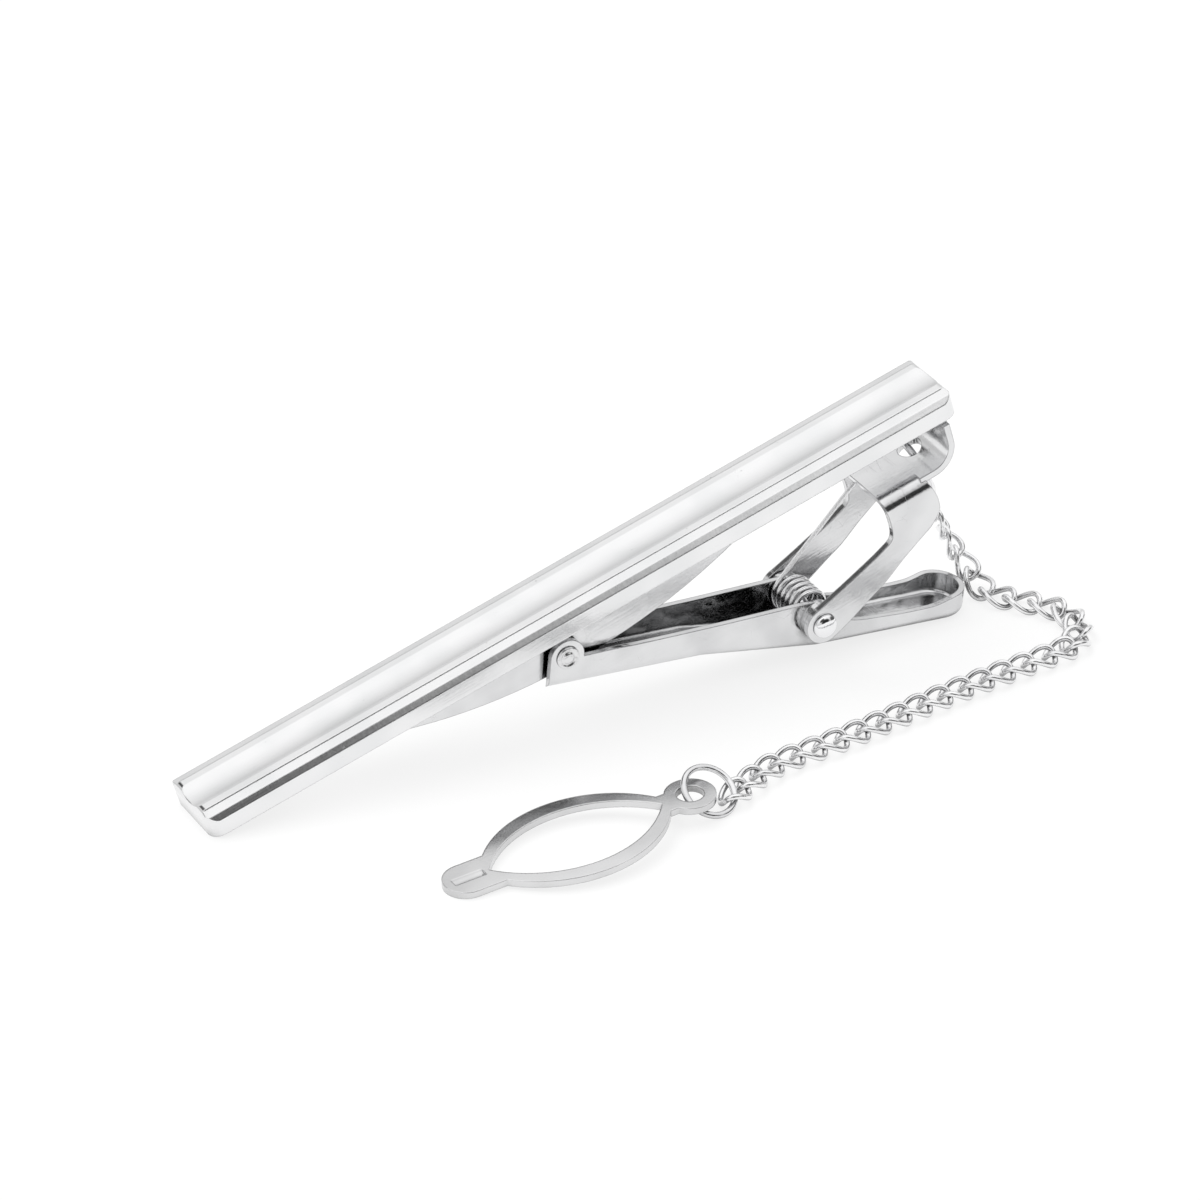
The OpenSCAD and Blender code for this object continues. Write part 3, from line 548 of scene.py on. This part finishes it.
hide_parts("torsion_spring")
lo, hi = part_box("torsion_spring")
print("spring box CAD", [round(v * 1000, 2) for v in (*lo, *hi)],
      "mine", (world_line.min(0) * 1000).round(2), (world_line.max(0) * 1000).round(2))

# %% [markdown]
# ## Rivets
# Each rivet is turned from one profile: a shank and two heads. The fulcrum's head is a
# high mirror dome with a steep rim, the jaw's is a low button with a ring pressed in it.


# %% Rivets
def rivet(name, at, shank, face, head, body, finish, sides=48):
    """Turned rivet about the clip's Y axis; head is a list of (radius, height over the face)."""
    half = [(shank, face)] + [(r, face + h) for r, h in head] + [(0, face + head[-1][1])]
    profile = half[::-1] + [(r, -y) for r, y in half]
    a = np.arange(sides) * 2 * math.pi / sides
    verts, faces = [], []
    for r, y in profile[1:-1]:
        ring = np.stack([at[0] + r * np.cos(a), np.full(sides, y), at[1] + r * np.sin(a)], 1)
        verts += from_clip(ring).tolist()
    rings = len(profile) - 2
    for i in range(rings - 1):
        for k in range(sides):
            m = (k + 1) % sides
            faces.append((i * sides + k, i * sides + m, (i + 1) * sides + m, (i + 1) * sides + k))
    for centre, ring in ((profile[0], 0), (profile[-1], rings - 1)):
        verts.append(from_clip((at[0], centre[1], at[1])).tolist())
        for k in range(sides):
            faces.append((len(verts) - 1, ring * sides + k, ring * sides + (k + 1) % sides))
    ob = make_piece(name, verts, faces)
    ob.data.materials.append(METALS[finish])
    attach(ob, body)
    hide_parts(name.replace("_turned", ""))
    return ob


steps = np.radians(np.linspace(0, 86, 16))
dome = [(0.86, 0.0)] + [(0.88 * math.cos(a) ** 0.85, 0.05 + 0.42 * math.sin(a)) for a in steps]
button = [(0.8, 0.0), (0.82, 0.03), (0.82, 0.07), (0.79, 0.12), (0.74, 0.16), (0.67, 0.175),
          (0.6, 0.15), (0.54, 0.09), (0.48, 0.07), (0.43, 0.09), (0.37, 0.15), (0.3, 0.19),
          (0.18, 0.2), (0.05, 0.2)]
rivet("pivot_rivet_turned", (FULCRUM[0], FULCRUM[1]), 0.55, PLATE_FACE, dome, "clip", "rivet_metal")
rivet("jaw_rivet_turned", JAW, 0.42, ARM_FACE, button, "arm", "button_finish")
print("rivets", 2)

# %% [markdown]
# ## Floor, world and lamps
# The floor is a large pale sheet. Seen by the camera, in gloss and through glass it is
# lifted most of the way to white, so the background is white and the soft shadow stays.

# %% Floor
me = bpy.data.meshes.new("floor_sheet")
h = 0.9
me.from_pydata([(-h, -h, 0), (h, -h, 0), (h, h, 0), (-h, h, 0)], [], [(0, 1, 2, 3)])
floor = bpy.data.objects.new("floor_sheet", me)
scene.collection.objects.link(floor)
m = bpy.data.materials.new("paper")
m.use_nodes = True
t = m.node_tree
t.nodes.clear()
out = t.nodes.new("ShaderNodeOutputMaterial")
dif = t.nodes.new("ShaderNodeBsdfDiffuse")
dif.inputs["Color"].default_value = (0.94, 0.94, 0.94, 1)
emi = t.nodes.new("ShaderNodeEmission")
emi.inputs["Strength"].default_value = 1.0
ray = t.nodes.new("ShaderNodeLightPath")
seen = math_node(t, "MAXIMUM", ray.outputs["Is Camera Ray"], ray.outputs["Is Glossy Ray"])
seen = math_node(t, "MAXIMUM", seen, ray.outputs["Is Transmission Ray"])
fac = math_node(t, "MULTIPLY", seen, 0.82)
mix = t.nodes.new("ShaderNodeMixShader")
link(t, fac, mix.inputs[0])
link(t, dif.outputs[0], mix.inputs[1])
link(t, emi.outputs[0], mix.inputs[2])
link(t, mix.outputs[0], out.inputs["Surface"])
me.materials.append(m)

# %% [markdown]
# The world is a pale room with a few dark patches, as a photo studio has round its
# light tent. Metal shows them as the dark bands of the photograph. The camera itself
# sees plain white.

# %% World
lobe, gi, go = new_group(
    "dark_patch",
    [("Direction", "NodeSocketVector", None), ("Axis", "NodeSocketVector", None),
     ("Edge", "NodeSocketFloat", 0.8), ("Core", "NodeSocketFloat", 0.95),
     ("Depth", "NodeSocketFloat", 0.8)],
    [("Keep", "NodeSocketFloat")])
d = add(lobe, "ShaderNodeVectorMath", operation="DOT_PRODUCT")
link(lobe, gi.outputs["Direction"], d.inputs[0])
link(lobe, gi.outputs["Axis"], d.inputs[1])
mr = add(lobe, "ShaderNodeMapRange", interpolation_type="SMOOTHSTEP")
link(lobe, d.outputs["Value"], mr.inputs[0])
link(lobe, gi.outputs["Edge"], mr.inputs[1])
link(lobe, gi.outputs["Core"], mr.inputs[2])
taken = math_node(lobe, "MULTIPLY", mr.outputs[0], gi.outputs["Depth"])
link(lobe, math_node(lobe, "SUBTRACT", 1.0, taken), go.inputs["Keep"])

world = bpy.data.worlds.new("studio")
scene.world = world
world.use_nodes = True
t = world.node_tree
t.nodes.clear()
out = t.nodes.new("ShaderNodeOutputWorld")
coord = t.nodes.new("ShaderNodeTexCoord")
PATCHES = [((-0.25, -0.76, 0.6), 0.925, 0.968, 0.92),
           ((-0.36, 0.73, 0.58), 0.957, 0.985, 0.9),
           ((0.9, -0.35, 0.1), 0.86, 0.95, 0.85),
           ((0.2, -0.97, 0.2), 0.88, 0.955, 0.96)]
keep = None
for axis, edge, core, depth in PATCHES:
    g = use_group(t, lobe, Direction=coord.outputs["Generated"], Axis=Vector(axis).normalized(),
                  Edge=edge, Core=core, Depth=depth)
    keep = g.outputs[0] if keep is None else math_node(t, "MULTIPLY", keep, g.outputs[0])
sep = t.nodes.new("ShaderNodeSeparateXYZ")
link(t, coord.outputs["Generated"], sep.inputs[0])
rise = map_range(t, sep.outputs["Z"], 0.12, 0.93, 0.66, 1.13)
room = math_node(t, "MULTIPLY", rise, keep)
bg = add(t, "ShaderNodeBackground", in_Color=(1, 1, 1, 1))
link(t, room, bg.inputs["Strength"])
white = add(t, "ShaderNodeBackground", in_Color=(1, 1, 1, 1), in_Strength=1.0)
ray = t.nodes.new("ShaderNodeLightPath")
mix = t.nodes.new("ShaderNodeMixShader")
link(t, ray.outputs["Is Camera Ray"], mix.inputs[0])
link(t, bg.outputs[0], mix.inputs[1])
link(t, white.outputs[0], mix.inputs[2])
link(t, mix.outputs[0], out.inputs["Surface"])


# %% Lamps
def area(name, place, aim, size, power):
    la = bpy.data.lights.new(name, "AREA")
    la.shape = "RECTANGLE"
    la.size, la.size_y = size
    la.energy = power
    ob = bpy.data.objects.new(name, la)
    ob.location = place
    ob.rotation_euler = (Vector(aim) - Vector(place)).to_track_quat("-Z", "Y").to_euler()
    ob.visible_glossy = False
    scene.collection.objects.link(ob)
    return ob


area("key_lamp", (-0.16, 0.2, 0.42), (0, 0, 0.005), (0.5, 0.35), 1.6)

# %% [markdown]
# ## Camera
# Fitted to the edges of the bar in the photograph. The fit was made on the clip, so the
# camera is turned with it by the small difference between the fitted and the real tilt.

# %% Camera
AZ, EL, DIST, SCALE = math.radians(-29.13), math.radians(31.28), 418.775, 15.189
right = np.array([math.cos(AZ), math.sin(AZ), 0])
back = np.array([math.sin(AZ) * math.cos(EL), -math.cos(AZ) * math.cos(EL), math.sin(EL)])
up = np.cross(back, right)
target = np.array([29.945, 0.0, 7.703])
delta = TILT - math.radians(16.19622)
spin = np.array(Matrix.Rotation(-delta, 3, "Y"))
right, up, back, target = spin @ right, spin @ up, spin @ back, spin @ target
place = part_place(target + back * DIST)
cam_data = bpy.data.cameras.new("photo_camera")
cam_data.sensor_width = 36
cam_data.lens = SCALE * DIST / 1200 * 36
cam_data.clip_start = 0.01
cam = bpy.data.objects.new("photo_camera", cam_data)
m4 = np.eye(4)
m4[:3, 0], m4[:3, 1], m4[:3, 2], m4[:3, 3] = right, up, back, place
cam.matrix_world = Matrix(m4.tolist())
scene.collection.objects.link(cam)
scene.camera = cam
scene.view_settings.view_transform = "Standard"
print("camera at", place.round(4), "lens", round(cam_data.lens, 1))
